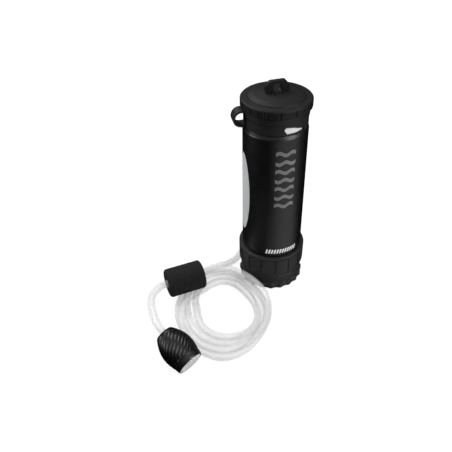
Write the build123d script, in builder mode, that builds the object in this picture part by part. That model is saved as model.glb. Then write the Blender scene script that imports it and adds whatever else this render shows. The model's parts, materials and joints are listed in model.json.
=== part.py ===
"""Pump water filter: a bottle with a filter cartridge, a hand pump in its base and a suction hose.

Millimetres, +Z up. The origin is on the bottle's axis, on the surface it stands on, and the bottle's
front, where its print is, faces -Y. Plan angles are degrees counter-clockwise from +X.
"""

import math
import os

from build123d import *

os.makedirs("parts", exist_ok=True)

# ---- driving dimensions ----
GAP = 0.05            # radial clearance of a running fit
REST_GAP = 0.3        # between pieces of different bodies that don't fit into each other

FOOT_R = 39.4         # pump handle, over the lobes of its foot
FOOT_H = 6.5
HANDLE_R = 37.2
HANDLE_TOP = 17.5
HANDLE_WALL = 3.0
BOSS_R = 11.5
SCREW_CIRCLE_R, SCREW_SEAT, PLATE_TOP = 26.0, 1.8, 4.0

COLLAR_BOTTOM = HANDLE_TOP + REST_GAP
COLLAR_R = 40.0
COLLAR_FLOOR = 24.0   # top of the collar's floor
COLLAR_TOP = 49.0
COLLAR_BORE = 35.2
GRIP_COUNT = 15

BOTTLE_R = 35.8
BOTTLE_WALL = 2.5
BOTTLE_END = 29.1
BOTTLE_TOP = 211.7
SHOULDER_Z = 206.8
NECK_BORE = 30.4
NECK_R = 33.2
NECK_TOP = 238.0
NECK_PLATE = 226.0

WINDOW_W, WINDOW_H, WINDOW_Z = 27.1, 104.0, 127.6

LID_R = 38.4
LID_BOTTOM = 231.5
LID_RIM = 240.5
LID_BORE = 34.3
LID_TOP = 246.5
LOOP_W, LOOP_T, LOOP_TOP = 26.0, 5.2, 257.5
LOOP_GAP_W, LOOP_GAP_TOP = 8.8, 254.4

RING_BOTTOM, RING_TOP, RING_R = 222.6, 231.4, 35.7
CLIP_BOTTOM, CLIP_TOP, CLIP_R = 211.0, 222.3, 35.0
# The opening in the clip at the bottle's front, across and up. It narrows to one side.
CLIP_GAP = (
    (-3.4, 217.8), (-1.4, 220.6), (6.7, 219.6), (19.4, 215.2), (20.6, 212.9), (12.2, 212.3), (0.6, 212.3),
)
STRAP_ANGLE = 172.0   # plan angle of the tether strap
STRAP_W, STRAP_T, STRAP_REACH = 12.0, 2.8, 48.0

ROD_R, ROD_BORE, ROD_FLAT = 7.0, 3.5, 6.2
ROD_BOTTOM = 7.0
CYLINDER_R, CYLINDER_BORE, CYLINDER_TOP = 19.5, 17.0, 104.0
HEAD_BOTTOM = 97.5    # underside of the cylinder's head
PISTON_BOTTOM, PISTON_TOP = 84.0, 95.0
VALVE_R, VALVE_T, VALVE_LIFT = 6.5, 1.5, 1.2

HOSE_R, HOSE_BORE = 4.5, 3.0
PORT_ANGLE = 60.6     # plan angle of the hose port, at the back of the handle
PORT_Z = 9.0
ELBOW_REACH = 46.6
OUTLET_ANGLE = 165.5  # the way the hose leaves the elbow

FLOAT_R, FLOAT_L, FLOAT_TRAVEL = 17.5, 44.5, 10.0
FLOAT_Z = 26.8
FLOAT_END = Vector(-137.7, -19.4, FLOAT_Z)   # middle of the float's outer face
FLOAT_AXIS = Vector(0.992, 0.125, 0.0).normalized()

PREFILTER_L, PREFILTER_R = 43.4, 18.6
RIM_AT = 37.4         # from here on the barrel is the screwed rim
PREFILTER_BACK = Vector(-155.6, -97.2, 29.2)
PREFILTER_AXIS = Vector(0.470, -0.814, -0.342).normalized()   # it leans down onto its rim

# The suction hose: from the elbow round the handle to the coil, and from the coil through the float
# to the strainer.
elbow = Vector(ELBOW_REACH, 0, PORT_Z).rotate(Axis.Z, PORT_ANGLE)
outlet = Vector(1, 0, 0).rotate(Axis.Z, OUTLET_ANGLE)
hose_start = elbow + outlet * 9
LEAD_ROUTE = [
    hose_start,
    hose_start + outlet * 15,
    (-15.6, 42.9, 7.8),
    (-28.9, 34.4, 6.3),
    (-39.0, 23.3, 5.1),
    (-52.5, 18.2, 4.6),
    (-68.0, 17.0, 4.6),
    (-83.5, 14.3, 4.6),
    (-98.5, 7.0, 4.6),
    (-111.6, -3.4, 4.6),
    (-120.5, -18.8, 4.6),
]
TAIL_ROUTE = [
    (-33.5, -33.0, 15.5),
    (-40.3, -22.9, 16.8),
    (-49.0, -15.6, 19.6),
    (-59.4, -11.2, 23.4),
    FLOAT_END + FLOAT_AXIS * (FLOAT_L + FLOAT_TRAVEL + 12),
    FLOAT_END - FLOAT_AXIS * 7,
    (-158.0, -31.8, 28.0),
    (-162.4, -49.0, 30.4),
    (-162.8, -67.0, 32.7),
    PREFILTER_BACK - PREFILTER_AXIS * 13,
    PREFILTER_BACK + PREFILTER_AXIS * 5,
]
COIL_CENTRE = (-78.1, -62.4)
COIL_TURN = -14.5     # the coil's long axis leans this far from Y
COIL_W, COIL_D = 119.5, 146.0
COIL_HOLE_CENTRE = (-73.9, -54.2)
COIL_HOLE_W, COIL_HOLE_D = 60.5, 82.0
COIL_H = 14.0


def save(part, name):
    """Label a finished piece and write it to its own STEP file."""
    part.label = name
    export_step(part, f"parts/{name}.step")


def section_of(outline):
    """A closed (radius, height) outline in the plane that is turned about the bottle's axis."""
    with BuildSketch(Plane.XZ) as section:
        with BuildLine():
            Polyline(*outline, close=True)
        make_face()
    return section.sketch


def turned(outline, mode=Mode.ADD):
    """Revolve a (radius, height) outline about the bottle's axis, in the active part."""
    revolve(section_of(outline), axis=Axis.Z, mode=mode)


def sleeve(outer, bore, bottom, top, mode=Mode.ADD):
    """A tube about the bottle's axis, or a solid disc when the bore is 0."""
    turned([(bore, bottom), (outer, bottom), (outer, top), (bore, top)], mode)


def arc_outline(start, middle, end, steps=8):
    """Points along the circle through three (radius, height) points, for a rounded outline."""
    arc = ThreePointArc(start, middle, end, mode=Mode.PRIVATE)
    return [((arc @ (i / steps)).X, (arc @ (i / steps)).Y) for i in range(steps + 1)]


def bend_radii(route):
    """The largest bend at each corner of a hose route that leaves its runs a straight tenth."""
    points = [Vector(*p) for p in route]
    radii = []
    for before, corner, after in zip(points, points[1:], points[2:]):
        half_turn = math.radians((corner - before).get_angle(after - corner) / 2)
        shorter = min((corner - before).length, (after - corner).length)
        radii.append(0.45 * shorter / math.tan(half_turn))
    return radii


def hose_line(route, name):
    """The middle line of a stretch of hose, as straight runs joined by tangent arcs."""
    radii = bend_radii(route)
    print(name, "bend radii", [round(r, 1) for r in radii])
    return FilletPolyline(*route, radius=radii, mode=Mode.PRIVATE)


# ---- pump handle ----
# A turned cup with a lobed foot, a bayonet boss for the rod and a radial port for the hose.
FOOT_LOBES = 20
with BuildPart() as pump_handle:
    with BuildSketch():
        Circle(FOOT_R - 1.4)
        with PolarLocations(FOOT_R - 5, FOOT_LOBES):
            Circle(5)
    extrude(amount=FOOT_H)
    chamfer(pump_handle.edges().group_by(Axis.Z)[-1], length=1.2)
    turned(
        [
            (0, 5), (HANDLE_R, 5), (HANDLE_R, 10), (HANDLE_R - 0.7, 10.2), (HANDLE_R - 0.7, 10.9),
            (HANDLE_R, 11.1), (HANDLE_R, 13.5), (HANDLE_R - 0.7, 13.7), (HANDLE_R - 0.7, 14.4),
            (HANDLE_R, 14.6), (HANDLE_R, HANDLE_TOP - 1), (HANDLE_R - 1, HANDLE_TOP), (0, HANDLE_TOP),
        ]
    )
    sleeve(HANDLE_R - HANDLE_WALL, 0, 0, HANDLE_TOP - HANDLE_WALL, Mode.SUBTRACT)
    sleeve(BOSS_R, 0, ROD_BOTTOM - 2, HANDLE_TOP - 1)
    port_plane = Plane(origin=(0, 0, PORT_Z), z_dir=Vector(1, 0, 0).rotate(Axis.Z, PORT_ANGLE))
    with BuildSketch(port_plane):
        Circle(5.4)
    extrude(amount=HANDLE_R - 1)
    with PolarLocations(SCREW_CIRCLE_R, 3):
        Cylinder(3.2, HANDLE_TOP - 1, align=(Align.CENTER, Align.CENTER, Align.MIN))
    sleeve(HANDLE_R - HANDLE_WALL, 0, 0, PLATE_TOP, Mode.SUBTRACT)
    with PolarLocations(SCREW_CIRCLE_R, 3):
        Cylinder(1.1, 2 * 11, mode=Mode.SUBTRACT)
    sleeve(ROD_R, 0, ROD_BOTTOM, HANDLE_TOP, Mode.SUBTRACT)
    with BuildSketch(port_plane):
        Circle(1.8)
    extrude(amount=30, mode=Mode.SUBTRACT)
    with BuildSketch(port_plane.offset(27)):
        Circle(4.0)
    extrude(amount=20, mode=Mode.SUBTRACT)
save(pump_handle.part, "pump_handle")

with BuildPart() as handle_plate:
    sleeve(HANDLE_R - HANDLE_WALL - GAP, 0, 0, PLATE_TOP)
    with PolarLocations(SCREW_CIRCLE_R, 3):
        Cylinder(1.4, 20, mode=Mode.SUBTRACT)
        Cylinder(2.6, 2 * SCREW_SEAT, mode=Mode.SUBTRACT)
save(handle_plate.part, "handle_plate")

with BuildPart() as plate_screws:
    with PolarLocations(SCREW_CIRCLE_R, 3):
        with Locations((0, 0, SCREW_SEAT)):
            Cylinder(2.4, 1.3, align=(Align.CENTER, Align.CENTER, Align.MAX))
            Cylinder(1.1, 8.0, align=(Align.CENTER, Align.CENTER, Align.MIN))
    with PolarLocations(SCREW_CIRCLE_R, 3):
        with Locations((0, 0, 0)):
            Box(3.6, 0.7, 2 * 0.9, mode=Mode.SUBTRACT)
save(plate_screws.part, "plate_screws")

# The elbow turns the hose along the handle's side. Its spigot is plugged into the port.
with BuildPart() as hose_elbow:
    with BuildSketch(port_plane.offset(29)):
        Circle(4.0)
    extrude(amount=ELBOW_REACH - 29)
    with BuildSketch(port_plane.offset(FOOT_R + 0.5)):
        Circle(5.4)
    extrude(amount=ELBOW_REACH - FOOT_R - 0.5)
    with Locations(elbow):
        Sphere(5.4)
    with BuildSketch(Plane(origin=elbow, z_dir=outlet)):
        Circle(4.6)
    extrude(amount=9)
    with BuildSketch(Plane(origin=hose_start, z_dir=outlet)):
        Circle(HOSE_BORE)
    extrude(amount=8)
    with BuildSketch(port_plane.offset(28)):
        Circle(1.8)
    extrude(amount=ELBOW_REACH - 28, mode=Mode.SUBTRACT)
    with BuildSketch(Plane(origin=elbow, z_dir=outlet)):
        Circle(1.8)
    extrude(amount=20, mode=Mode.SUBTRACT)
    with BuildSketch(port_plane.offset(31)):
        Circle(6)
        Circle(3.2, mode=Mode.SUBTRACT)
    extrude(amount=1.6, mode=Mode.SUBTRACT)
save(hose_elbow.part, "hose_elbow")

with BuildPart() as elbow_oring:
    with BuildSketch(port_plane.offset(31.1)):
        Circle(3.98)
        Circle(3.2, mode=Mode.SUBTRACT)
    extrude(amount=1.4)
save(elbow_oring.part, "elbow_oring")

# ---- piston, moving with the handle ----
with BuildPart() as piston_rod:
    sleeve(ROD_R, ROD_BORE, ROD_BOTTOM, PISTON_BOTTOM)
    sleeve(ROD_R - 2, ROD_BORE, PISTON_BOTTOM, PISTON_BOTTOM + 4)
    for side in (-1, 1):
        with Locations((side * (ROD_FLAT + 2), 0, (HANDLE_TOP + PISTON_BOTTOM) / 2)):
            Box(4, 2 * ROD_R, PISTON_BOTTOM - HANDLE_TOP, mode=Mode.SUBTRACT)
    with BuildSketch(port_plane):
        Circle(1.8)
    extrude(amount=ROD_R + 1, mode=Mode.SUBTRACT)
    sleeve(ROD_BORE + 0.5, 0, ROD_BOTTOM, ROD_BOTTOM - 1 + 0.9, Mode.SUBTRACT)
save(piston_rod.part, "piston_rod")

VALVE_SEAT = 89.4     # the inlet disc's seat in the piston
SEAL_BOTTOM, SEAL_TOP, SEAL_BORE = 86.5, 89.5, 14.2
with BuildPart() as piston_head:
    sleeve(CYLINDER_BORE - 0.4, 0, PISTON_BOTTOM, PISTON_TOP)
    sleeve(ROD_R - 2, 0, PISTON_BOTTOM, PISTON_BOTTOM + 4, Mode.SUBTRACT)
    sleeve(CYLINDER_BORE, SEAL_BORE, SEAL_BOTTOM, SEAL_TOP, Mode.SUBTRACT)
    sleeve(VALVE_R + 1.5, 0, VALVE_SEAT, PISTON_TOP, Mode.SUBTRACT)
    with PolarLocations(2.6, 5):
        Cylinder(1.0, 2 * PISTON_TOP, mode=Mode.SUBTRACT)
save(piston_head.part, "piston_head")

with BuildPart() as piston_seal:
    turned(
        [
            (SEAL_BORE, SEAL_BOTTOM), (CYLINDER_BORE - 0.6, SEAL_BOTTOM),
            (CYLINDER_BORE - GAP, SEAL_BOTTOM + 0.8), (CYLINDER_BORE - GAP, SEAL_TOP - 0.8),
            (CYLINDER_BORE - 0.6, SEAL_TOP), (SEAL_BORE, SEAL_TOP),
        ]
    )
save(piston_seal.part, "piston_seal")


def disc_valve(seat):
    """A disc valve with a short guide pin, lying on its seat."""
    turned(
        [
            (0, seat + 0.02), (VALVE_R, seat + 0.02), (VALVE_R, seat + VALVE_T - 0.3),
            (VALVE_R - 0.3, seat + VALVE_T), (1.2, seat + VALVE_T), (1.0, seat + VALVE_T + 1.6),
            (0, seat + VALVE_T + 1.6),
        ]
    )


def valve_keeper(seat, top):
    """The ring and spokes that stop a disc valve from lifting further."""
    under = seat + VALVE_T + VALVE_LIFT + 0.25
    sleeve(VALVE_R + 1.5, VALVE_R - 1.2, under, top)
    for angle in (0, 60, 120):
        with Locations(Location((0, 0, (under + top) / 2), (0, 0, angle))):
            Box(2 * VALVE_R, 1.4, top - under)
    sleeve(2.6, 0, under, top)
    sleeve(1.3, 0, under, top, Mode.SUBTRACT)


with BuildPart() as inlet_valve:
    disc_valve(VALVE_SEAT)
save(inlet_valve.part, "inlet_valve")

with BuildPart() as inlet_keeper:
    valve_keeper(VALVE_SEAT, PISTON_TOP)
save(inlet_keeper.part, "inlet_keeper")

# ---- lock ring: keyed to the rod's flats, and turns in the collar's floor to lock the handle ----
RING_BORE_R = 15.0
with BuildPart() as lock_ring:
    sleeve(RING_BORE_R - GAP, 0, COLLAR_BOTTOM + 0.3, COLLAR_FLOOR + 0.1)
    sleeve(CYLINDER_BORE - 0.1, 0, COLLAR_FLOOR + 0.1, COLLAR_FLOOR + 2)
    with BuildSketch(Plane.XY.offset(COLLAR_BOTTOM)):
        Circle(ROD_R + GAP)
        for side in (-1, 1):
            with Locations((side * (ROD_FLAT + GAP + 2), 0)):
                Rectangle(4, 4 * ROD_R, mode=Mode.SUBTRACT)
    extrude(amount=12, mode=Mode.SUBTRACT)
save(lock_ring.part, "lock_ring")

# ---- base: the screw-on collar with the pump cylinder in it ----
GRIP_BOTTOM, GRIP_TOP = 25.6, 45.4
with BuildPart() as base_collar:
    turned(
        [
            (RING_BORE_R, COLLAR_BOTTOM), (37.2, COLLAR_BOTTOM), (38.0, COLLAR_BOTTOM + 0.8),
            (39.2, GRIP_BOTTOM - 0.4), (COLLAR_R - 0.2, GRIP_BOTTOM + 0.3), (COLLAR_R, GRIP_TOP - 0.2),
            (COLLAR_R - 0.6, GRIP_TOP), (COLLAR_R - 0.6, GRIP_TOP + 0.7), (COLLAR_R, GRIP_TOP + 0.9),
            (COLLAR_R, COLLAR_TOP - 0.8), (COLLAR_R - 0.8, COLLAR_TOP), (COLLAR_BORE + 0.5, COLLAR_TOP),
            (COLLAR_BORE, COLLAR_TOP - 0.5), (COLLAR_BORE, COLLAR_FLOOR), (RING_BORE_R, COLLAR_FLOOR),
        ]
    )
    for i in range(GRIP_COUNT):
        groove_angle = -90 + 360 / GRIP_COUNT * (i + 0.5)
        side = Vector(1, 0, 0).rotate(Axis.Z, groove_angle)
        groove_plane = Plane(origin=side * (COLLAR_R - 1.0), x_dir=(0, 0, 1), z_dir=side)
        with BuildSketch(groove_plane):
            with Locations(((GRIP_BOTTOM + GRIP_TOP) / 2, 0)):
                SlotOverall(GRIP_TOP - GRIP_BOTTOM, 2.6)
        extrude(amount=3, mode=Mode.SUBTRACT)
save(base_collar.part, "base_collar")

OUTLET_SEAT = HEAD_BOTTOM + 2.5
with BuildPart() as pump_cylinder:
    sleeve(33.0, CYLINDER_BORE, COLLAR_FLOOR, COLLAR_FLOOR + 3)
    sleeve(CYLINDER_R, CYLINDER_BORE, COLLAR_FLOOR, CYLINDER_TOP)
    sleeve(CYLINDER_R, 0, HEAD_BOTTOM, CYLINDER_TOP)
    sleeve(VALVE_R + 1.5, 0, OUTLET_SEAT, CYLINDER_TOP, Mode.SUBTRACT)
    with PolarLocations(3.4, 6):
        with Locations((0, 0, HEAD_BOTTOM)):
            Cylinder(1.0, 8, mode=Mode.SUBTRACT)
save(pump_cylinder.part, "pump_cylinder")

with BuildPart() as outlet_valve:
    disc_valve(OUTLET_SEAT)
save(outlet_valve.part, "outlet_valve")

with BuildPart() as outlet_keeper:
    valve_keeper(OUTLET_SEAT, CYLINDER_TOP)
save(outlet_keeper.part, "outlet_keeper")

with BuildPart() as base_seal:
    sleeve(34.6, 30.0, COLLAR_FLOOR + 3.05, BOTTLE_END - 0.1)
save(base_seal.part, "base_seal")

# ---- bottle ----
THREAD_R = 34.5
with BuildPart() as bottle_shell:
    ribs = []
    for z in (33.0, 37.0, 41.0):
        ribs += [(THREAD_R, z), (COLLAR_BORE - 0.1, z + 0.6), (COLLAR_BORE - 0.1, z + 1.1), (THREAD_R, z + 1.7)]
    turned(
        [(32.0, BOTTLE_END), (THREAD_R, BOTTLE_END)]
        + ribs
        + [
            (THREAD_R, COLLAR_TOP + REST_GAP), (BOTTLE_R - 0.3, COLLAR_TOP + REST_GAP),
            (BOTTLE_R, COLLAR_TOP + REST_GAP + 0.3), (BOTTLE_R, SHOULDER_Z - 0.4),
            (BOTTLE_R - 0.5, SHOULDER_Z + 0.6), (33.6, SHOULDER_Z + 3.2), (33.0, SHOULDER_Z + 3.6),
            (33.0, BOTTLE_TOP), (NECK_BORE, BOTTLE_TOP), (NECK_BORE, 207.0), (BOTTLE_R - BOTTLE_WALL, 203.5),
            (BOTTLE_R - BOTTLE_WALL, 52.0), (32.0, 50.0),
        ]
    )
    with BuildSketch(Plane(origin=(0, 0, WINDOW_Z), x_dir=(0, 1, 0), z_dir=(-1, 0, 0))):
        Ellipse(WINDOW_W / 2, WINDOW_H / 2)
    extrude(amount=BOTTLE_R + 5, mode=Mode.SUBTRACT)
save(bottle_shell.part, "bottle_shell")

# The level window fills its cut-out, flush with the shell.
with BuildPart() as level_window:
    with BuildSketch(Plane(origin=(0, 0, WINDOW_Z), x_dir=(0, 1, 0), z_dir=(-1, 0, 0))):
        Ellipse(WINDOW_W / 2 - 0.04, WINDOW_H / 2 - 0.04)
    extrude(amount=BOTTLE_R + 5)
    window_ring = section_of(
        [
            (BOTTLE_R - BOTTLE_WALL, 60), (BOTTLE_R - 0.02, 60),
            (BOTTLE_R - 0.02, 200), (BOTTLE_R - BOTTLE_WALL, 200),
        ]
    )
    revolve(window_ring, axis=Axis.Z, mode=Mode.INTERSECT)
save(level_window.part, "level_window")

# ---- filter cartridge, which closes the bottle's neck ----
OUTER_SKIRT = NECK_BORE - 0.1
CART_R, CART_BORE, CART_BOTTOM = 27.0, 25.0, 124.0
with BuildPart() as cartridge_head:
    ribs = []
    for z in (232.4, 235.0):
        ribs += [(NECK_R, z), (LID_BORE - 0.12, z + 0.5), (LID_BORE - 0.12, z + 1.0), (NECK_R, z + 1.5)]
    turned(
        [(CART_R + 0.1, 206.0), (OUTER_SKIRT, 206.0), (OUTER_SKIRT, BOTTLE_TOP), (NECK_R, BOTTLE_TOP)]
        + ribs
        + [
            (NECK_R, NECK_TOP - 0.4), (NECK_R - 0.4, NECK_TOP), (30.6, NECK_TOP), (30.6, NECK_PLATE + 3),
            (0, NECK_PLATE + 3), (0, NECK_PLATE), (CART_R + 0.1, NECK_PLATE),
        ]
    )
    sleeve(OUTER_SKIRT, OUTER_SKIRT - 1.4, 208.6, 210.8, Mode.SUBTRACT)
    sleeve(9.0, 0, NECK_PLATE + 3, NECK_PLATE + 7)
    sleeve(6.5, 0, NECK_PLATE + 7, NECK_PLATE + 9.5)
    sleeve(3.0, 0, NECK_PLATE, NECK_TOP, Mode.SUBTRACT)
save(cartridge_head.part, "cartridge_head")

with BuildPart() as cartridge_oring:
    sleeve(NECK_BORE - 0.02, OUTER_SKIRT - 1.4, 208.7, 210.7)
save(cartridge_oring.part, "cartridge_oring")

with BuildPart() as cartridge_housing:
    turned(
        [
            (0, CART_BOTTOM), (CART_R - 1, CART_BOTTOM), (CART_R, CART_BOTTOM + 1), (CART_R, NECK_PLATE),
            (CART_BORE, NECK_PLATE), (CART_BORE, CART_BOTTOM + 2.5), (0, CART_BOTTOM + 2.5),
        ]
    )
    for z in (132.0, 146.0, 160.0, 174.0):
        for angle in range(0, 360, 45):
            side = Vector(1, 0, 0).rotate(Axis.Z, angle)
            with BuildSketch(Plane(origin=(0, 0, z + 3), x_dir=(0, 0, 1), z_dir=side)):
                SlotOverall(10, 3)
            extrude(amount=CART_R + 2, mode=Mode.SUBTRACT)
    with PolarLocations(16, 8):
        with Locations((0, 0, CART_BOTTOM)):
            Cylinder(3, 8, mode=Mode.SUBTRACT)
save(cartridge_housing.part, "cartridge_housing")

POTTING_BOTTOM, POTTING_TOP = 205.0, 219.0
with BuildPart() as fibre_bundle:
    with BuildSketch(Plane.XY.offset(CART_BOTTOM + 5)):
        with HexLocations(1.95, 7, 7):
            Circle(1.5)
    extrude(amount=POTTING_BOTTOM - CART_BOTTOM - 5)
save(fibre_bundle.part, "fibre_bundle")

with BuildPart() as fibre_potting:
    sleeve(CART_BORE, 0, POTTING_BOTTOM, POTTING_TOP)
save(fibre_potting.part, "fibre_potting")

with BuildPart() as carbon_disc:
    sleeve(CART_BORE, 0, POTTING_TOP + 0.5, NECK_PLATE)
save(carbon_disc.part, "carbon_disc")

with BuildPart() as drink_teat:
    turned(
        [
            (6.5, 233.0), (8.8, 233.0), (8.8, 235.4), (7.0, 237.0), (5.2, 241.2), (4.2, 242.2), (2.0, 242.2),
            (2.0, 240.6), (3.4, 239.6), (5.0, 235.5), (6.5, 235.5),
        ]
    )
save(drink_teat.part, "drink_teat")

# ---- lid ----
RIM_CHAMFER = 1.4
DOME_R = 31.0        # the dome rises inside a flat rim
CAVITY_R = 29.0
with BuildPart() as lid_cap:
    turned(
        [
            (LID_BORE, LID_BOTTOM), (LID_R - 0.5, LID_BOTTOM), (LID_R, LID_BOTTOM + 0.5),
            (LID_R, LID_RIM - RIM_CHAMFER), (LID_R - 0.7, LID_RIM - 0.5), (LID_R - RIM_CHAMFER, LID_RIM),
            (DOME_R, LID_RIM + 0.4), (DOME_R - 0.8, LID_RIM + 1.5), (24.0, LID_RIM + 3.4),
            (12.0, LID_TOP - 0.7), (7.0, LID_TOP), (0, LID_TOP),
            (0, LID_TOP - 2.8), (10.0, LID_TOP - 3.0), (CAVITY_R, LID_RIM - 0.3), (CAVITY_R, 239.3),
            (LID_BORE, 239.3),
        ]
    )
    with PolarLocations(LID_R + 0.9, GRIP_COUNT, start_angle=-90 + 10.5):
        with Locations((0, 0, LID_RIM - 1.5)):
            Cylinder(1.9, 14, align=(Align.CENTER, Align.CENTER, Align.MAX), mode=Mode.SUBTRACT)
    foot = LID_TOP - 3
    with BuildSketch(Plane.XZ.offset(-LOOP_T / 2)) as loop_profile:
        with BuildLine():
            Polyline(
                (-LOOP_W / 2, foot), (LOOP_W / 2, foot), (LOOP_W / 2, LOOP_TOP - 5.5),
                (LOOP_W / 2 - 4.5, LOOP_TOP), (4.5 - LOOP_W / 2, LOOP_TOP), (-LOOP_W / 2, LOOP_TOP - 5.5),
                close=True,
            )
        make_face()
        fillet(loop_profile.vertices().group_by(Axis.Y)[-1], radius=3.5)
        fillet(loop_profile.vertices().group_by(Axis.Y)[1], radius=2.5)
        with Locations((0, (LID_TOP + LOOP_GAP_TOP) / 2)):
            RectangleRounded(LOOP_GAP_W, LOOP_GAP_TOP - LID_TOP, 2.4, mode=Mode.SUBTRACT)
    extrude(amount=LOOP_T)
save(lid_cap.part, "lid_cap")

with BuildPart() as lid_seal:
    sleeve(33.2, 30.0, NECK_TOP + 0.15, 239.3)
save(lid_seal.part, "lid_seal")

# ---- tether: a ring that turns under the lid, a clip round the neck, and the strap between them ----
with BuildPart() as tether_ring:
    turned(
        [
            (LID_BORE, RING_BOTTOM), (RING_R - 0.8, RING_BOTTOM), (RING_R, RING_BOTTOM + 0.8),
            (RING_R, RING_TOP - 0.6), (RING_R - 0.6, RING_TOP), (LID_BORE, RING_TOP),
        ]
    )
save(tether_ring.part, "tether_ring")

with BuildPart() as tether_clip:
    clip_section = section_of(
        [
            (NECK_R, CLIP_BOTTOM), (CLIP_R - 0.6, CLIP_BOTTOM), (CLIP_R, CLIP_BOTTOM + 0.6),
            (CLIP_R, CLIP_TOP - 0.6), (CLIP_R - 0.6, CLIP_TOP), (NECK_R, CLIP_TOP),
        ]
    )
    revolve(clip_section, axis=Axis.Z)
    with BuildSketch(Plane.XZ.offset(20)) as clip_gap:
        with BuildLine():
            Polyline(*CLIP_GAP, close=True)
        make_face()
        fillet(clip_gap.vertices(), radius=0.7)
    extrude(amount=25, mode=Mode.SUBTRACT)
save(tether_clip.part, "tether_clip")

strap_side = Vector(1, 0, 0).rotate(Axis.Z, STRAP_ANGLE)
strap_plane = Plane(origin=(0, 0, 0), x_dir=strap_side, z_dir=strap_side.cross(Vector(0, 0, 1)))
with BuildPart() as tether_strap:
    root = CLIP_R + 0.05
    low, high = CLIP_BOTTOM + 0.6, RING_TOP - 0.9
    middle = (low + high) / 2
    with BuildSketch(strap_plane):
        with BuildLine():
            Line((root, low), (root + 4, low))
            ThreePointArc((root + 4, low), (STRAP_REACH, middle), (root + 4, high))
            Line((root + 4, high), (RING_R + 0.05, high))
            Line((RING_R + 0.05, high), (RING_R + 0.05, high - STRAP_T))
            Line((RING_R + 0.05, high - STRAP_T), (root + 4, high - STRAP_T))
            ThreePointArc(
                (root + 4, high - STRAP_T), (STRAP_REACH - STRAP_T, middle), (root + 4, low + STRAP_T)
            )
            Line((root + 4, low + STRAP_T), (root, low + STRAP_T))
            Line((root, low + STRAP_T), (root, low))
        make_face()
    extrude(amount=STRAP_W / 2, both=True)
    sleeve(RING_R + 0.05, 0, 200, 250, Mode.SUBTRACT)
save(tether_strap.part, "tether_strap")

# ---- hose ----
for name, route in (("hose_lead", LEAD_ROUTE), ("hose_tail", TAIL_ROUTE)):
    line = hose_line(route, name)
    with BuildPart() as hose:
        with BuildSketch(Plane(origin=line @ 0, z_dir=line % 0)):
            Circle(HOSE_R)
            Circle(HOSE_BORE, mode=Mode.SUBTRACT)
        sweep(path=line)
    ring_area = math.pi * (HOSE_R**2 - HOSE_BORE**2)
    tube_volume = ring_area * line.length
    print(name, "length", round(line.length, 1), "volume over tube volume", hose.part.volume / tube_volume)
    save(hose.part, name)

# The coil, as the outer shape of its turns, hollowed where the float lies on it and where it meets
# the handle.
with BuildPart() as hose_coil:
    with BuildSketch():
        with Locations(Location((*COIL_CENTRE, 0), (0, 0, COIL_TURN))):
            Ellipse(COIL_W / 2, COIL_D / 2)
        with Locations(Location((*COIL_HOLE_CENTRE, 0), (0, 0, COIL_TURN))):
            Ellipse(COIL_HOLE_W / 2, COIL_HOLE_D / 2, mode=Mode.SUBTRACT)
    extrude(amount=COIL_H)
    with BuildSketch(Plane(origin=FLOAT_END - FLOAT_AXIS * 6, z_dir=FLOAT_AXIS)):
        Circle(FLOAT_R + 0.8)
    extrude(amount=FLOAT_L + FLOAT_TRAVEL + 10, mode=Mode.SUBTRACT)
    sleeve(COLLAR_R + 0.6, 0, -1, COIL_H + 1, Mode.SUBTRACT)
    with BuildSketch(Plane(origin=PREFILTER_BACK - PREFILTER_AXIS * 5, z_dir=PREFILTER_AXIS)):
        Circle(PREFILTER_R + 0.3)
    extrude(amount=PREFILTER_L + 10, mode=Mode.SUBTRACT)
save(hose_coil.part, "hose_coil")

# ---- float ----
with BuildPart() as hose_float:
    with BuildSketch(Plane(origin=FLOAT_END, z_dir=FLOAT_AXIS)):
        Circle(FLOAT_R)
    extrude(amount=FLOAT_L)
    fillet(hose_float.edges().filter_by(GeomType.CIRCLE), radius=2.2)
    with BuildSketch(Plane(origin=FLOAT_END - FLOAT_AXIS, z_dir=FLOAT_AXIS)):
        Circle(HOSE_R + GAP)
    extrude(amount=FLOAT_L + 2, mode=Mode.SUBTRACT)
save(hose_float.part, "hose_float")

# ---- strainer on the hose's end ----
# Its outlines are (radius, distance from the back face).
across = Vector(PREFILTER_AXIS.Y, -PREFILTER_AXIS.X, 0).normalized()
strainer_plane = Plane(origin=PREFILTER_BACK, x_dir=across, z_dir=across.cross(PREFILTER_AXIS))
strainer_axis = Axis(PREFILTER_BACK, PREFILTER_AXIS)


def strainer_turned(outline, mode=Mode.ADD):
    """Revolve a closed outline about the strainer's axis, in the active part."""
    with BuildSketch(strainer_plane) as section:
        with BuildLine():
            Polyline(*outline, close=True)
        make_face()
    revolve(section.sketch, axis=strainer_axis, mode=mode)


BARREL = arc_outline((11.0, 1.0), (PREFILTER_R, 23.5), (16.2, RIM_AT), 12)
BARREL_INSIDE = [(r - 1.8, s) for r, s in reversed(BARREL) if s > 3]
with BuildPart() as prefilter_housing:
    strainer_turned(
        [(HOSE_R + 0.1, 0), (10.2, 0)] + BARREL + BARREL_INSIDE + [(10.5, 4.0), (HOSE_R + 0.1, 4.0)]
    )
save(prefilter_housing.part, "prefilter_housing")

with BuildPart() as prefilter_cap:
    joint_r = BARREL[-1][0] - 1.85
    strainer_turned(
        [
            (joint_r - 0.6, RIM_AT - 2), (joint_r, RIM_AT - 2), (joint_r, RIM_AT), (16.2, RIM_AT),
            (15.6, PREFILTER_L - 1.6), (14.9, PREFILTER_L), (14.3, PREFILTER_L), (14.3, PREFILTER_L - 0.5),
            (14.5, PREFILTER_L - 0.5), (14.5, PREFILTER_L - 2), (joint_r - 0.6, PREFILTER_L - 2),
        ]
    )
save(prefilter_cap.part, "prefilter_cap")

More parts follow.
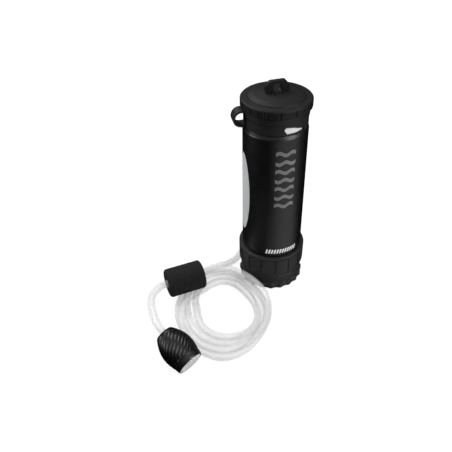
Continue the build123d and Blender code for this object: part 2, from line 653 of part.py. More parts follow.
with BuildPart() as prefilter_mesh:
    strainer_turned(
        [(0, PREFILTER_L - 1.8), (14.4, PREFILTER_L - 1.8), (14.4, PREFILTER_L - 0.6), (0, PREFILTER_L - 0.6)]
    )
save(prefilter_mesh.part, "prefilter_mesh")

with BuildPart() as prefilter_core:
    strainer_turned(
        [(4.0, 12.5), (12.6, 12.5), (13.0, 34.0), (13.0, 41.0), (0, 41.0), (0, 33.0), (4.0, 33.0)]
    )
save(prefilter_core.part, "prefilter_core")

with BuildPart() as prefilter_weight:
    strainer_turned([(4.1, 5.2), (9.2, 5.2), (11.6, 12.0), (4.1, 12.0)])
save(prefilter_weight.part, "prefilter_weight")

with BuildPart() as prefilter_barb:
    strainer_turned(
        [
            (1.8, -2.5), (2.6, -2.5), (HOSE_BORE, -1.0), (HOSE_BORE, 5.0), (9.0, 5.0), (9.0, 5.2), (4.1, 5.2),
            (4.1, 12.0), (3.9, 12.6), (3.9, 30.0), (1.8, 30.0),
        ]
    )
save(prefilter_barb.part, "prefilter_barb")
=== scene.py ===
"""A pump water filter bottle with its coiled suction hose, float and strainer.

Every length is in metres, in the CAD frame: +Z up, the bottle's axis through the origin, front -Y.
"""
import json
import math

import bpy
from mathutils import Matrix, Vector, noise


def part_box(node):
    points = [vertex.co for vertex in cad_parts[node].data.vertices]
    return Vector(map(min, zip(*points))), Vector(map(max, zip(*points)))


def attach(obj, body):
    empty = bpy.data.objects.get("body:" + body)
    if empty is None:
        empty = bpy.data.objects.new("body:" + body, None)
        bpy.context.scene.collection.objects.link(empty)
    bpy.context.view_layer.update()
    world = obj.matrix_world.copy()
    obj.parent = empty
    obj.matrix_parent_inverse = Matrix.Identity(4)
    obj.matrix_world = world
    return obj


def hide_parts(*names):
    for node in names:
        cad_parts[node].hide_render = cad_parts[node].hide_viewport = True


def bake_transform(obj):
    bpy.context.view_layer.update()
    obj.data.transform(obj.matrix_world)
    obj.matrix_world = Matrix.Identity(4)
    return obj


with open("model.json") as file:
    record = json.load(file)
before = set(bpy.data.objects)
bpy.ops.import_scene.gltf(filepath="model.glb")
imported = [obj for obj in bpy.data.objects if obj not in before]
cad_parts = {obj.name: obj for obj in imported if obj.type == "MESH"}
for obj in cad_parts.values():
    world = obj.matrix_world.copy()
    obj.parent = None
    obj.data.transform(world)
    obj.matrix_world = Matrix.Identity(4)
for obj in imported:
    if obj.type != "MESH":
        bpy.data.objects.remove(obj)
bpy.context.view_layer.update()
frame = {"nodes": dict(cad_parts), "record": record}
NODES = frame["nodes"]
MM = 0.001
UP = Vector((0, 0, 1))


def turned(vector, degrees):
    """A vector turned about +Z."""
    return Matrix.Rotation(math.radians(degrees), 3, "Z") @ Vector(vector)


def in_mm(*points):
    """Points given in millimetres, as vectors in metres."""
    return [Vector(point) * MM for point in points]


# ---- camera ----
def add_camera():
    """The photograph's view: from the front left and well above, with a small roll."""
    place = Vector((-186.4, -496.1, 484.0)) * MM
    pitch, roll = math.radians(38.119), math.radians(-1.608)
    ahead = turned((1, 0, 0), 75.5)
    forward = ahead * math.cos(pitch) - UP * math.sin(pitch)
    right = forward.cross(UP).normalized()
    upward = right.cross(forward)
    side = right * math.cos(roll) + upward * math.sin(roll)
    top = upward * math.cos(roll) - right * math.sin(roll)
    data = bpy.data.cameras.new("camera")
    data.lens, data.sensor_width = 43.44, 36.0
    data.clip_start = 0.01
    camera = bpy.data.objects.new("camera", data)
    turn = Matrix((side, top, -forward)).transposed().to_4x4()
    camera.matrix_world = Matrix.Translation(place) @ turn
    bpy.context.scene.collection.objects.link(camera)
    bpy.context.scene.camera = camera


add_camera()

# ---- the suction hose's line ----
HOSE_R, HOSE_BORE = 4.5 * MM, 3.0 * MM
ON_HOSE = HOSE_R + 0.1 * MM   # the bore of a piece that the hose runs through
FLOAT_END = Vector((-137.7, -19.4, 26.8)) * MM
FLOAT_AXIS = Vector((0.992, 0.125, 0.0)).normalized()
FLOAT_LENGTH, FLOAT_R, FLOAT_TRAVEL = 44.5 * MM, 17.5 * MM, 10 * MM
STRAINER_BACK = Vector((-155.6, -97.2, 29.2)) * MM
STRAINER_AXIS = Vector((0.470, -0.814, -0.342)).normalized()
OUTLET = turned((1, 0, 0), 165.5)
HOSE_START = turned((46.6 * MM, 0, 9 * MM), 60.6) + OUTLET * 9 * MM

# From the elbow behind the base, down to the floor and round to the coil.
LEAD_ROUTE = [
    HOSE_START,
    HOSE_START + OUTLET * 15 * MM,
    *in_mm(
        (-15.6, 42.9, 7.8), (-28.9, 34.4, 6.3), (-39.0, 23.3, 5.1), (-52.5, 18.2, 4.6),
        (-68.0, 17.0, 4.6), (-83.5, 14.3, 4.6), (-98.5, 7.0, 4.6), (-111.6, -3.4, 4.6),
        (-120.5, -18.8, 4.6),
    ),
]
# From the coil's top, where it leans on the base, through the float and down to the strainer.
TAIL_ROUTE = [
    *in_mm((-33.5, -33.0, 15.5), (-40.3, -22.9, 16.8), (-49.0, -15.6, 19.6), (-59.4, -11.2, 23.4)),
    FLOAT_END + FLOAT_AXIS * (FLOAT_LENGTH + FLOAT_TRAVEL + 12 * MM),
    FLOAT_END + FLOAT_AXIS * FLOAT_LENGTH,
    FLOAT_END,
    FLOAT_END - FLOAT_AXIS * 7 * MM,
    *in_mm((-158.0, -31.8, 28.0), (-162.4, -49.0, 30.4), (-162.8, -67.0, 32.7)),
    STRAINER_BACK - STRAINER_AXIS * 13 * MM,
    STRAINER_BACK + STRAINER_AXIS * 5 * MM,
]

# The coil's loose turns, nearly four. At every eighth of a turn, from the coil's left side round its
# front, the hose lies this far from the coil's middle, and this high over the floor, in millimetres.
COIL_MIDDLE = Vector((-76.9, -57.6, 0.0)) * MM
COIL_START = 165.5   # degrees round +Z from +X
COIL_REACH = [
    (56.2, 57.6, 63.8, 54.2, 49.8, 48.2, 66.0, 57.0),
    (44.8, 48.5, 54.0, 49.6, 39.5, 42.0, 56.8, 46.8),
    (33.4, 38.5, 44.8, 45.4, 37.6, 36.0, 47.6, 39.4),
    (48.5, 63.8, 74.4, 58.5, 50.3, 49.9),
]
LAID = 4.6   # the height of a hose that lies on the floor
COIL_HEIGHT = [
    (LAID, LAID, LAID, LAID, LAID, LAID, LAID, LAID),
    (LAID, LAID, 5.0, 12.5, 13.4, 10.8, LAID, LAID),
    (LAID, LAID, LAID, LAID, LAID, LAID, LAID, 7.6),
    (15.0, 11.0, LAID, 13.2, 13.4, 16.5),
]
EIGHTH = 45.0
STEPS_PER_EIGHTH = 2
BULGE = 1.012   # the spline cuts inside its control points by this much


def smooth_between(values, place):
    """The value at a place along evenly spaced ones, by a Catmull-Rom curve."""
    last = len(values) - 1
    i = min(int(place), last - 1)
    t = place - i
    before, a, b, after = (values[max(0, min(last, k))] for k in (i - 1, i, i + 1, i + 2))
    square = 2 * before - 5 * a + 4 * b - after
    cube = 3 * (a - b) + after - before
    return a + 0.5 * t * (b - before + t * (square + t * cube))


def coil_turns():
    """The coil's control points, sixteen for each turn."""
    reach = [value for turn in COIL_REACH for value in turn]
    height = [value for turn in COIL_HEIGHT for value in turn]
    points = []
    for step in range((len(reach) - 1) * STEPS_PER_EIGHTH):
        place = step / STEPS_PER_EIGHTH
        out = turned((1, 0, 0), COIL_START + EIGHTH * place)
        distance = smooth_between(reach, place) * BULGE * MM
        z = max(LAID, smooth_between(height, place)) * MM
        points.append(COIL_MIDDLE + out * distance + UP * z)
    return points


def spline_curve(name, points):
    """A curve object of one open NURBS spline on the control points."""
    data = bpy.data.curves.new(name, "CURVE")
    data.dimensions = "3D"
    spline = data.splines.new("NURBS")
    spline.points.add(len(points) - 1)
    for control, point in zip(spline.points, points):
        control.co = (*point, 1)
    spline.order_u = 3
    spline.use_endpoint_u = True
    spline.resolution_u = 6
    curve = bpy.data.objects.new(name, data)
    bpy.context.scene.collection.objects.link(curve)
    return curve


def line_of(curve):
    """The points along a curve that has no bevel."""
    bpy.context.view_layer.update()
    shown = curve.evaluated_get(bpy.context.evaluated_depsgraph_get())
    mesh = bpy.data.meshes.new_from_object(shown)
    points = [vertex.co.copy() for vertex in mesh.vertices]
    bpy.data.meshes.remove(mesh)
    return points


# ---- mesh helpers ----
def add_mesh(name, vertices, faces, smooth=True):
    mesh = bpy.data.meshes.new(name)
    mesh.from_pydata([tuple(vertex) for vertex in vertices], [], faces)
    mesh.validate()
    if smooth:
        mesh.shade_smooth()
    piece = bpy.data.objects.new(name, mesh)
    bpy.context.scene.collection.objects.link(piece)
    return piece


def bridged(rings, closed_ends):
    """Vertices and faces of rings joined one to the next, each ring a closed loop of points."""
    count = len(rings[0])
    faces = []
    for row in range(len(rings) - 1):
        here, there = row * count, (row + 1) * count
        for i in range(count):
            j = (i + 1) % count
            faces.append((here + i, here + j, there + j, there + i))
    if closed_ends:
        faces.append(tuple(reversed(range(count))))
        faces.append(tuple(range((len(rings) - 1) * count, len(rings) * count)))
    return [point for ring in rings for point in ring], faces


def joined(shapes):
    """Several (vertices, faces) pairs as one."""
    vertices, faces = [], []
    for more, more_faces in shapes:
        faces += [tuple(index + len(vertices) for index in face) for face in more_faces]
        vertices += more
    return vertices, faces


def add_ring_form(name, rings):
    """A closed surface through rings, the last ring joined back to the first."""
    vertices, faces = bridged([*rings, rings[0]], closed_ends=False)
    count = len(vertices) - len(rings[0])
    return add_mesh(name, vertices[:count], [tuple(index % count for index in face) for face in faces])


def frames_along(points):
    """At each point, the line's direction and two directions across it that don't twist."""
    out = []
    across = None
    for i, point in enumerate(points):
        ahead = (points[min(i + 1, len(points) - 1)] - points[max(i - 1, 0)]).normalized()
        across = ahead.orthogonal() if across is None else across - ahead * across.dot(ahead)
        across.normalize()
        out.append((point, across.copy(), ahead.cross(across)))
    return out


def tube_mesh(name, points, outer, bore, sides):
    """A hollow tube along the points, whose ends are rings between its outside and its bore."""
    angles = [2 * math.pi * i / sides for i in range(sides)]
    places = frames_along(points)
    rings = [
        [p + (u * math.cos(a) + v * math.sin(a)) * radius for a in angles]
        for radius, run in ((outer, places), (bore, places[::-1]))
        for p, u, v in run
    ]
    return add_ring_form(name, rings)


def about(axis, origin):
    """A function that gives the point at (radius, turn, along) round an axis. A quarter turn is the top."""
    side = axis.cross(UP).normalized()
    top = side.cross(axis)

    def point(radius, turn, along):
        return origin + axis * along + (side * math.cos(turn) + top * math.sin(turn)) * radius

    return point


# ---- materials ----
WHITE = (1, 1, 1, 1)


def new_material(name):
    material = bpy.data.materials.new(name)
    material.use_nodes = True
    return material, material.node_tree.nodes["Principled BSDF"]


class Nodes:
    """Short calls that add nodes to a material, in object coordinates."""

    def __init__(self, tree):
        self.tree = tree
        self.place = tree.nodes.new("ShaderNodeTexCoord").outputs["Object"]

    def add(self, kind, inputs=(), **settings):
        node = self.tree.nodes.new("ShaderNode" + kind)
        for key, value in settings.items():
            setattr(node, key, value)
        for key, value in dict(inputs).items():
            if isinstance(value, bpy.types.NodeSocket):
                self.tree.links.new(value, node.inputs[key])
            else:
                node.inputs[key].default_value = value
        return node

    def stretched(self, scale):
        return self.add("Mapping", {"Vector": self.place, "Scale": scale}).outputs[0]

    def noise(self, size, detail=3.0, roughness=0.5, place=None):
        """Noise with features of about a size in metres."""
        inputs = {"Vector": place or self.place, "Scale": 1 / size}
        return self.add("TexNoise", {**inputs, "Detail": detail, "Roughness": roughness}).outputs["Fac"]

    def cells(self, size):
        return self.add("TexVoronoi", {"Vector": self.place, "Scale": 1 / size}).outputs["Distance"]

    def spread(self, value, low, high, start=0.3, stop=0.7):
        """A value between start and stop, carried over to between low and high."""
        inputs = {"Value": value, "From Min": start, "From Max": stop, "To Min": low, "To Max": high}
        return self.add("MapRange", inputs).outputs[0]

    def mix(self, factor, first, second):
        node = self.add("Mix", {"Factor": factor}, data_type="RGBA")
        for socket, value in ((node.inputs[6], first), (node.inputs[7], second)):
            if isinstance(value, bpy.types.NodeSocket):
                self.tree.links.new(value, socket)
            else:
                socket.default_value = (*value, 1)
        return node.outputs[2]

    def bump(self, height, depth, strength=1.0, over=None):
        inputs = {"Height": height, "Distance": depth, "Strength": strength}
        if over is not None:
            inputs["Normal"] = over
        return self.add("Bump", inputs).outputs[0]

    def feed(self, shader, **sockets):
        for key, value in sockets.items():
            self.tree.links.new(value, shader.inputs[key.replace("_", " ")])


def plain_settings(shader, settings):
    for key, value in settings.items():
        shader.inputs[key.replace("_", " ")].default_value = value


def moulded(name, dark, light, rough, grain, grain_depth, wear=0.0, **settings):
    """Moulded plastic or rubber: clouded colour, uneven gloss, a fine surface grain and pale scuffs."""
    material, shader = new_material(name)
    n = Nodes(material.node_tree)
    clouds = n.noise(18 * MM, 4)
    colour = n.mix(n.spread(clouds, 0, 1), dark, light)
    fine = n.noise(grain, 2, 0.6)
    speckle = n.spread(n.noise(grain * 2.2, 2), 0, 1, 0.45, 0.62)
    colour = n.mix(n.spread(fine, 0, 0.5, 0.4, 0.75), colour, tuple(c * 1.35 for c in light))
    if wear:
        scuffs = n.noise(2.2 * MM, 6, 0.75, n.stretched((1, 1, 0.25)))
        colour = n.mix(n.spread(scuffs, 0, wear, 0.62, 0.74), colour, tuple(c * 2.6 + 0.01 for c in light))
    low, high = rough
    gloss = n.spread(n.noise(6 * MM, 5, 0.6), low, high)
    gloss = n.add("Math", {0: gloss, 1: n.spread(speckle, -0.03, 0.03, 0, 1)}, operation="ADD").outputs[0]
    swell = n.bump(n.noise(9 * MM, 2), 0.05 * MM)
    n.feed(shader, Base_Color=colour, Roughness=gloss, Normal=n.bump(fine, grain_depth, over=swell))
    plain_settings(shader, settings)
    return material


def grey(value):
    return (value, value, value)


def foam_material():
    material, shader = new_material("foam_black")
    n = Nodes(material.node_tree)
    cells = n.cells(1.0 * MM)
    pores = n.cells(0.45 * MM)
    colour = n.mix(n.spread(cells, 0, 1, 0.1, 0.7), (0.004, 0.004, 0.0045), (0.012, 0.012, 0.013))
    colour = n.mix(n.spread(n.noise(7 * MM), 0, 0.6), colour, (0.008, 0.008, 0.0085))
    skin = n.bump(cells, 0.22 * MM)
    n.feed(
        shader,
        Base_Color=colour,
        Roughness=n.spread(n.noise(4 * MM), 0.82, 0.96),
        Normal=n.bump(pores, 0.12 * MM, over=skin),
    )
    plain_settings(shader, {"Specular_IOR_Level": 0.3})
    return material


def metal_material(name, colour, stretch, rough):
    """Bare metal, with fine lines along the stretched direction."""
    material, shader = new_material(name)
    n = Nodes(material.node_tree)
    lines = n.noise(0.5 * MM, 5, 0.7, n.stretched(stretch))
    n.feed(
        shader,
        Base_Color=n.mix(n.spread(lines, 0, 1), tuple(c * 0.82 for c in colour), colour),
        Roughness=n.spread(n.noise(3 * MM, 4), rough - 0.06, rough + 0.1),
        Normal=n.bump(lines, 0.01 * MM),
    )
    plain_settings(shader, {"Metallic": 1.0})
    return material


def woven_material(name, dark, light, pitch):
    """A plain weave of fine round threads across X and Z."""
    material, shader = new_material(name)
    n = Nodes(material.node_tree)
    waves = [
        n.add(
            "TexWave",
            {"Vector": n.place, "Scale": 0.314 / pitch, "Distortion": 0.4, "Detail": 1.0},
            bands_direction=direction,
        ).outputs["Fac"]
        for direction in ("X", "Z")
    ]
    threads = n.add("Math", {0: waves[0], 1: waves[1]}, operation="MULTIPLY").outputs[0]
    n.feed(
        shader,
        Base_Color=n.mix(n.spread(threads, 0, 1, 0.0, 0.6), dark, light),
        Roughness=n.spread(n.noise(2 * MM), 0.55, 0.8),
        Normal=n.bump(threads, 0.15 * MM),
    )
    return material


def hose_material():
    """Clear soft tube: seen through where it faces the eye, greyer where its wall turns away, with a faint
    painted glow.
    """
    material, shader = new_material("clear_hose")
    n = Nodes(material.node_tree)
    facing = n.add("LayerWeight", {"Blend": 0.5}).outputs["Facing"]
    edge = n.add("Math", {0: facing, 1: 2.0}, operation="POWER").outputs[0]
    haze = n.spread(n.noise(11 * MM, 4), 0.17, 0.23)
    cover = n.add("Math", {0: n.spread(edge, 0.0, 0.26, 0.0, 1.0), 1: haze}, operation="ADD").outputs[0]
    colour = n.mix(n.spread(n.noise(8 * MM, 3), 0, 1), (0.80, 0.80, 0.80), (0.90, 0.90, 0.90))
    n.feed(
        shader,
        Base_Color=colour,
        Roughness=n.spread(n.noise(5 * MM, 3), 0.12, 0.24),
        Normal=n.bump(n.noise(2.5 * MM, 3), 0.03 * MM),
        Alpha=cover,
    )
    # The emission is a faint painted glow, standing in for light passing through the tube's wall.
    plain_settings(shader, {"IOR": 1.42, "Emission_Color": WHITE, "Emission_Strength": 0.04})
    return material


def window_material():
    """The frosted level window: pale, lightly clouded, with a thin glossy skin."""
    material, shader = new_material("window_plastic")
    n = Nodes(material.node_tree)
    haze = n.noise(14 * MM, 4)
    colour = n.mix(n.spread(haze, 0, 1), (0.78, 0.79, 0.80), (0.88, 0.89, 0.90))
    fine = n.noise(0.35 * MM, 2)
    n.feed(
        shader,
        Base_Color=colour,
        Roughness=n.spread(n.noise(5 * MM), 0.3, 0.42),
        Normal=n.bump(fine, 0.015 * MM),
    )
    plain_settings(shader, {"Subsurface_Weight": 0.15, "Subsurface_Scale": 0.002, "Coat_Weight": 0.2})
    return material


MATERIALS = {
    "black_shell": moulded(
        "black_shell", grey(0.0012), grey(0.0022), (0.36, 0.46), 0.28 * MM, 0.005 * MM, wear=0.03
    ),
    "collar_plastic": moulded(
        "collar_plastic", grey(0.014), grey(0.022), (0.52, 0.66), 0.42 * MM, 0.05 * MM, wear=0.10,
        Specular_IOR_Level=0.3,
    ),
    "lid_plastic": moulded(
        "lid_plastic", grey(0.0045), grey(0.0075), (0.48, 0.62), 0.42 * MM, 0.045 * MM, wear=0.10,
        Specular_IOR_Level=0.25,
    ),
    "tether_rubber": moulded(
        "tether_rubber", grey(0.008), grey(0.013), (0.5, 0.66), 0.3 * MM, 0.03 * MM, Specular_IOR_Level=0.3
    ),
    "strainer_plastic": moulded(
        "strainer_plastic", grey(0.0008), grey(0.0016), (0.30, 0.40), 0.3 * MM, 0.01 * MM,
        Specular_IOR_Level=0.4,
    ),
    "window_plastic": window_material(),
    "white_plastic": moulded(
        "white_plastic", (0.88, 0.89, 0.89), (0.94, 0.94, 0.94), (0.30, 0.42), 0.4 * MM, 0.01 * MM
    ),
    "clear_hose": hose_material(),
    "seal_rubber": moulded("seal_rubber", grey(0.018), grey(0.03), (0.42, 0.6), 0.3 * MM, 0.012 * MM),
    "foam_black": foam_material(),
    "steel": metal_material("steel", (0.60, 0.60, 0.61), (1, 1, 6), 0.28),
    "rod_alloy": metal_material("rod_alloy", (0.68, 0.68, 0.70), (1, 1, 0.05), 0.3),
    "fibre_white": moulded(
        "fibre_white", (0.80, 0.80, 0.77), (0.90, 0.90, 0.88), (0.6, 0.8), 0.5 * MM, 0.04 * MM
    ),
    "potting_resin": moulded(
        "potting_resin", (0.66, 0.61, 0.46), (0.76, 0.72, 0.58), (0.18, 0.3), 0.8 * MM, 0.01 * MM,
        Subsurface_Weight=0.2, Subsurface_Scale=0.003,
    ),
    "carbon_black": moulded("carbon_black", grey(0.006), grey(0.02), (0.8, 0.95), 0.7 * MM, 0.2 * MM),
    "mesh_white": woven_material("mesh_white", (0.62, 0.63, 0.64), (0.90, 0.91, 0.92), 0.9 * MM),
    "teat_silicone": moulded(
        "teat_silicone", (0.62, 0.65, 0.67), (0.72, 0.75, 0.77), (0.32, 0.5), 0.5 * MM, 0.01 * MM,
        Subsurface_Weight=0.4, Subsurface_Scale=0.002,
    ),
    "print_grey": moulded("print_grey", grey(0.16), grey(0.20), (0.4, 0.5), 0.3 * MM, 0.004 * MM),
    "print_white": moulded(
        "print_white", grey(0.86), grey(0.92), (0.4, 0.5), 0.3 * MM, 0.004 * MM,
        # The emission is a painted glow that makes the white print brighter than the lamps alone would.
        Emission_Color=WHITE, Emission_Strength=0.2,
    ),
}


def finish(piece, material):
    piece.data.materials.append(MATERIALS[material])


def dress_cad_nodes():
    """Each CAD node takes the material of its slot in the record."""
    for part in frame["record"]["subparts"]:
        data = NODES[part["node"]].data
        data.materials.clear()
        data.materials.append(MATERIALS[part["material_slot"]])


dress_cad_nodes()


# ---- hose ----
def add_hose():
    curve = spline_curve("suction_hose_line", LEAD_ROUTE + coil_turns() + TAIL_ROUTE)
    line = line_of(curve)
    bpy.data.objects.remove(curve)
    hose = tube_mesh("suction_hose", line, HOSE_R, HOSE_BORE, 20)
    finish(hose, "clear_hose")
    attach(hose, "root")
    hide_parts("hose_lead", "hose_coil", "hose_tail")
    return hose, line


hose, hose_line = add_hose()


# ---- float ----
def add_float():
    """A foam cylinder on the hose, with softly rounded ends and a skin that isn't quite true."""
    edge, sides = 2.6 * MM, 72
    end = [(ON_HOSE, 0.6 * MM), (ON_HOSE + 1.2 * MM, 0.0), (FLOAT_R - edge, 0.0)]
    for step in range(1, 7):
        angle = math.radians(15 * step)
        end.append((FLOAT_R - edge + edge * math.sin(angle), edge - edge * math.cos(angle)))
    side = [(FLOAT_R, edge + (FLOAT_LENGTH - 2 * edge) * step / 24) for step in range(1, 24)]
    far_end = [(radius, FLOAT_LENGTH - along) for radius, along in reversed(end)]
    point = about(FLOAT_AXIS, FLOAT_END)
    rings = []
    for radius, along in [*end, *side, *far_end, (ON_HOSE, FLOAT_LENGTH * 0.5)]:
        ring = []
        for i in range(sides):
            turn = 2 * math.pi * i / sides
            place = point(radius, turn, along)
            uneven = 0.0
            if radius >= ON_HOSE + 2 * MM:
                uneven += noise.noise(place / (5 * MM)) * 0.22 * MM
                uneven += noise.noise(place / (1.3 * MM)) * 0.09 * MM
            ring.append(point(radius + uneven - 0.15 * MM, turn, along))
        rings.append(ring)
    piece = add_ring_form("foam_float", rings)
    finish(piece, "foam_black")
    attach(piece, "float")
    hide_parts("hose_float")
    return piece


foam_float = add_float()


# ---- strainer ----
STRAINER_R, RIM_AT, STRAINER_LENGTH = 18.6 * MM, 37.4 * MM, 43.4 * MM


def add_strainer_barrel():
    """The barrel, with ribs that wind round it from its back to the smooth rim."""
    sides, ribs, rows, wall = 400, 20, 72, 1.8 * MM
    rib_height, lean = 0.9 * MM, 1.3
    widest, back, inner_back = 23.5 * MM, 1.0 * MM, 4.0 * MM
    point = about(STRAINER_AXIS, STRAINER_BACK)

    def barrel(along):
        if along < widest:
            return STRAINER_R - 7.6 * MM * ((widest - along) / (widest - back)) ** 2
        return STRAINER_R - 2.4 * MM * ((along - widest) / (RIM_AT - widest)) ** 2

    def circle(radius, along):
        return [point(radius, 2 * math.pi * i / sides, along) for i in range(sides)]

    rings = [circle(ON_HOSE, 0.0), circle(10.2 * MM, 0.0)]
    for row in range(rows + 1):
        along = back + (RIM_AT - back) * row / rows
        from_back, to_rim = along - 3.2 * MM, RIM_AT - 1.5 * MM - along
        fade = min(1.0, max(0.0, from_back / (1.6 * MM)), max(0.0, to_rim / (1.2 * MM)))
        ring = []
        for i in range(sides):
            turn = 2 * math.pi * i / sides
            wave = math.sin(ribs * turn + lean * ribs * (along - back) / STRAINER_R)
            ridge = (max(0.0, wave) ** 1.5 - 1) * 0.8
            ring.append(point(barrel(along) + rib_height * fade * ridge, turn, along))
        rings.append(ring)
    rings += [circle(barrel(along) - wall, along) for along in (RIM_AT, inner_back)]
    rings.append(circle(ON_HOSE, inner_back))
    piece = add_ring_form("strainer_barrel", rings)
    finish(piece, "strainer_plastic")
    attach(piece, "root")
    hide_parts("prefilter_housing")
    return piece


strainer_barrel = add_strainer_barrel()


def add_strainer_mesh():
    """Woven wires over the strainer's mouth, each a thin rod that weaves over and under its neighbours."""
    reach, pitch, wire, swing = 14.1 * MM, 1.15 * MM, 0.19 * MM, 0.15 * MM
    face_at = STRAINER_LENGTH - 0.25 * MM
    corners = [math.pi / 4 + math.pi / 2 * corner for corner in range(4)]
    point = about(STRAINER_AXIS, STRAINER_BACK)

    def one_wire(number, direction):
        offset = number * pitch
        half = math.sqrt(reach**2 - offset**2)
        steps = max(4, int(2 * half / (pitch / 2)))
        rings = []
        for step in range(steps + 1):
            along = -half + 2 * half * step / steps
            weave = swing * math.cos(math.pi * along / pitch + math.pi * (number + direction))
            ring = []
            for angle in corners:
                across, lift = offset + wire * math.cos(angle), wire * math.sin(angle)
                x, y = (along, across) if direction else (across, along)
                ring.append(point(math.hypot(x, y), math.atan2(y, x), face_at + weave + lift))
            rings.append(ring)
        return bridged(rings, closed_ends=True)

    lines = int(reach / pitch)
    wires = [one_wire(number, direction) for direction in (0, 1) for number in range(-lines, lines + 1)]
    piece = add_mesh("strainer_screen", *joined(wires))
    finish(piece, "white_plastic")
    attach(piece, "root")
    return piece


strainer_screen = add_strainer_mesh()

[tuple(point) for point in hose_line]


# ---- tether strap ----
STRAP_OUT = turned((1, 0, 0), 176.0)
STRAP_ROUND = turned(STRAP_OUT, 90)
STRAP_WIDTH, STRAP_THICK = 13.5 * MM, 2.8 * MM
STRAP_LOW, STRAP_HIGH = 211.6 * MM + STRAP_THICK / 2, 230.5 * MM - STRAP_THICK / 2
CLIP_R, RING_R, STRAP_REACH = 35.05 * MM, 35.75 * MM, 48.0 * MM
STRAP_ROOT = CLIP_R + 4 * MM


def strap_line():
    """The middle of the strap: out of the clip, up round half an ellipse and in to the ring."""

    def at(radius, height):
        return STRAP_OUT * radius + UP * height

    middle, rise = (STRAP_LOW + STRAP_HIGH) / 2, (STRAP_HIGH - STRAP_LOW) / 2
    bulge = STRAP_REACH - STRAP_THICK / 2 - STRAP_ROOT
    corners = [at(CLIP_R - 0.8 * MM, STRAP_LOW), at(STRAP_ROOT - 1.5 * MM, STRAP_LOW)]
    for step in range(33):
        angle = math.radians(-90 + 180 * step / 32)
        corners.append(at(STRAP_ROOT + math.cos(angle) * bulge, middle + math.sin(angle) * rise))
    corners += [at(STRAP_ROOT - 1.5 * MM, STRAP_HIGH), at(RING_R - 1.0 * MM, STRAP_HIGH)]
    line = []
    for a, b in zip(corners, corners[1:]):
        pieces = max(1, int((b - a).length / (0.28 * MM)))
        line += [a.lerp(b, k / pieces) for k in range(pieces)]
    return [*line, corners[-1]]


def add_strap():
    """The strap that loops from the clip round the neck up to the ring under the lid, with slanted ribs."""
    rib_pitch, rib, slant, steps = 1.7 * MM, 0.45 * MM, 0.9, 16
    edge_thick, edge_rib = 0.72, 0.3
    rings, run = [], 0.0
    line = strap_line()
    for i, place in enumerate(line):
        ahead = (line[min(i + 1, len(line) - 1)] - line[max(i - 1, 0)]).normalized()
        outward = ahead.cross(STRAP_ROUND).normalized()
        run += (place - line[max(i - 1, 0)]).length
        outer, inner = [], []
        for k in range(steps + 1):
            y = STRAP_WIDTH * (k / steps - 0.5)
            thick, height = (edge_thick, edge_rib) if k in (0, steps) else (1.0, 1.0)
            groove = (math.cos(2 * math.pi * (run + y * slant) / rib_pitch) - 1) / 2
            middle = place + STRAP_ROUND * y
            outer.append(middle + outward * (STRAP_THICK / 2 * thick + rib * height * groove))
            inner.append(middle - outward * STRAP_THICK / 2 * thick)
        rings.append(outer + inner[::-1])
    piece = add_mesh("ribbed_strap", *bridged(rings, closed_ends=True))
    finish(piece, "tether_rubber")
    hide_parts("tether_strap")
    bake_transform(piece)


add_strap()


# ---- marks printed on the bottle ----
BOTTLE_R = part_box("bottle_shell")[1][0]
PRINT_LIFT, PRINT_THICK = 0.04 * MM, 0.10 * MM


def printed(name, strips, material):
    """Thin raised ink on the bottle's wall. A strip is a row of (low, high) points, each point a distance
    round the wall from the front and a height."""
    inside, outside = BOTTLE_R + PRINT_LIFT - PRINT_THICK, BOTTLE_R + PRINT_LIFT

    def on_wall(radius, point):
        across, height = point
        return turned((radius, 0, height), math.degrees(across / BOTTLE_R) - 90)

    shapes = []
    for strip in strips:
        rings = [
            [on_wall(inside, low), on_wall(inside, high), on_wall(outside, high), on_wall(outside, low)]
            for low, high in strip
        ]
        shapes.append(bridged(rings, closed_ends=True))
    piece = add_mesh(name, *joined(shapes), smooth=False)
    finish(piece, material)
    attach(piece, "bottle")


def wave_strip(height, start):
    """A wavy band across the front, as a strip for printed()."""
    width, swing, waves, stroke, steps = 22.5 * MM, 1.5 * MM, 1.5, 4.4 * MM, 28
    strip = []
    for step in range(steps + 1):
        across = width * (step / steps - 0.5)
        level = height + swing * math.sin(2 * math.pi * waves * step / steps + start)
        strip.append(((across, level - stroke / 2), (across, level + stroke / 2)))
    return strip


def tick_strip(left):
    """A short slanted stroke above the collar, as a strip for printed()."""
    foot, tall, thick, lean = 54.6 * MM, 5.8 * MM, 1.7 * MM, 1.6 * MM
    strip = []
    for t in (0.0, 0.5, 1.0):
        across, level = left + lean * t, foot + tall * t
        strip.append(((across, level), (across + thick, level)))
    return strip


def add_prints():
    waves = [wave_strip((124.5 + 11.0 * k) * MM, math.pi * k) for k in range(7)]
    printed("mark_waves", waves, "print_grey")
    ticks = [tick_strip((-19.5 + 3.3 * k) * MM) for k in range(12)]
    printed("mark_ticks", ticks, "print_white")


add_prints()


# ---- floor, backdrop and light ----
def stage_finish(piece, base, glow):
    """A plain pale finish. It sheds no light on the part and isn't mirrored, so dark sides stay dark."""
    material, shader = new_material(piece.name)
    plain_settings(
        shader,
        {
            "Base_Color": (*grey(base), 1), "Roughness": 0.9, "Specular_IOR_Level": 0.0,
            "Emission_Color": WHITE, "Emission_Strength": glow,
        },
    )
    piece.data.materials.append(material)
    piece.visible_glossy = False
    piece.visible_diffuse = False


def add_floor():
    size = 10.0
    corners = [(-size, -size, 0), (size, -size, 0), (size, size, 0), (-size, size, 0)]
    floor = add_mesh("floor", corners, [(0, 1, 2, 3)], smooth=False)
    stage_finish(floor, 0.2, 0.88)


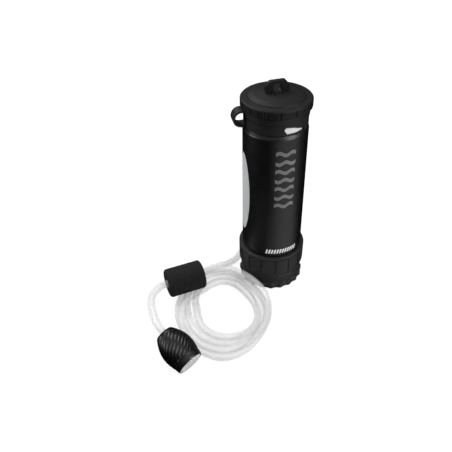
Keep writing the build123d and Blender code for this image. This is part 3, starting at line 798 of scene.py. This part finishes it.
def add_backdrop():
    """A pale wall and ceiling far off all round, so that no view looks past the floor's edge."""
    sides, radius, height = 48, 9.0, 9.0
    angles = [2 * math.pi * i / sides for i in range(sides)]
    profile = ((radius, -0.01), (radius, height * 0.6), (radius * 0.7, height), (0.01, height * 1.2))
    rings = [[Vector((reach * math.cos(a), reach * math.sin(a), z)) for a in angles] for reach, z in profile]
    wall = add_mesh("backdrop", *bridged(rings, closed_ends=False))
    stage_finish(wall, 0.0, 0.96)
    wall.visible_shadow = False


def add_area(name, place, target, size, power):
    data = bpy.data.lights.new(name, "AREA")
    data.shape, data.size, data.energy = "DISK", size, power
    light = bpy.data.objects.new(name, data)
    light.location = place
    light.rotation_euler = (Vector(target) - Vector(place)).to_track_quat("-Z", "Y").to_euler()
    bpy.context.scene.collection.objects.link(light)


def add_world():
    """A soft studio: a bright ceiling, and a lit patch of table at the front right that the body mirrors."""
    world = bpy.data.worlds.new("studio")
    world.use_nodes = True
    bpy.context.scene.world = world
    tree = world.node_tree
    place = tree.nodes.new("ShaderNodeTexCoord").outputs["Generated"]
    height = tree.nodes.new("ShaderNodeSeparateXYZ")
    towards = tree.nodes.new("ShaderNodeVectorMath")
    towards.operation = "DOT_PRODUCT"
    towards.inputs[1].default_value = turned((0.82, 0, -0.57), 298)
    total = tree.nodes.new("ShaderNodeMath")
    for node in (height, towards):
        tree.links.new(place, node.inputs[0])
    glows = ((height.outputs["Z"], 0.25, 0.9, 0.75), (towards.outputs["Value"], 0.66, 0.97, 0.85))
    for i, (value, start, stop, level) in enumerate(glows):
        glow = tree.nodes.new("ShaderNodeMapRange")
        glow.interpolation_type = "SMOOTHSTEP"
        glow.inputs["From Min"].default_value = start
        glow.inputs["From Max"].default_value = stop
        glow.inputs["To Max"].default_value = level
        tree.links.new(value, glow.inputs["Value"])
        tree.links.new(glow.outputs[0], total.inputs[i])
    background = tree.nodes["Background"]
    background.inputs["Color"].default_value = WHITE
    tree.links.new(total.outputs[0], background.inputs["Strength"])


add_floor()
add_backdrop()
add_world()
add_area("key", (0.75, -0.95, 0.85), (0.0, 0.0, 0.13), 0.7, 11.0)
add_area("top", (-0.5, 0.9, 1.3), (-0.05, -0.02, 0.1), 0.6, 11.0)
add_area("left", (-1.3, 0.2, 0.3), (0.0, 0.0, 0.12), 0.6, 6.5)
bpy.context.scene.view_settings.view_transform = "Standard"
